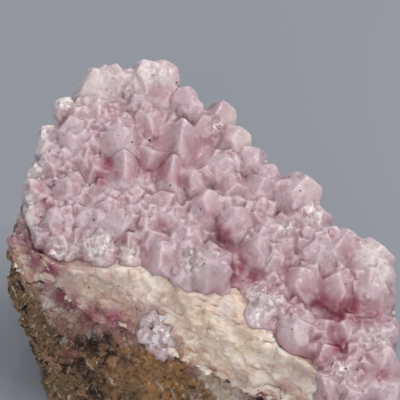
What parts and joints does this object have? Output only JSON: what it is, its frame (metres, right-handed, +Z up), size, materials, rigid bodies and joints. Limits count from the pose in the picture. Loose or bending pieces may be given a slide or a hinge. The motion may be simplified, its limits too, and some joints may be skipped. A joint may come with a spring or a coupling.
{
  "type": "cobaltoan calcite specimen",
  "caption": "Mineral hand specimen: a tilted druse of pale pink calcite crystals on cream granular calcite and brown matrix rock, standing on a flat foot.",
  "frame": {"origin": "on the flat foot, in the middle of the whole object's bounding box", "axes": "+Z up; the crystal face slopes down towards -Y; +X to the right when it is seen from the front"},
  "size_m": [0.0786, 0.0692, 0.0623],
  "materials": {
    "matrix": "rough, grainy broken rock in mottled brown, tan and grey",
    "cream_calcite": "sugary, granular calcite, cream to faint yellow",
    "pink_calcite": "translucent, frosted pale pink crystals, deeper rose in the hollows and whitish at the tips"
  },
  "bodies": {
    "root": {"matrix_rock": "matrix", "cream_calcite_layer": "cream_calcite", "pink_crystal_druse": "pink_calcite"}
  },
  "joints": []
}
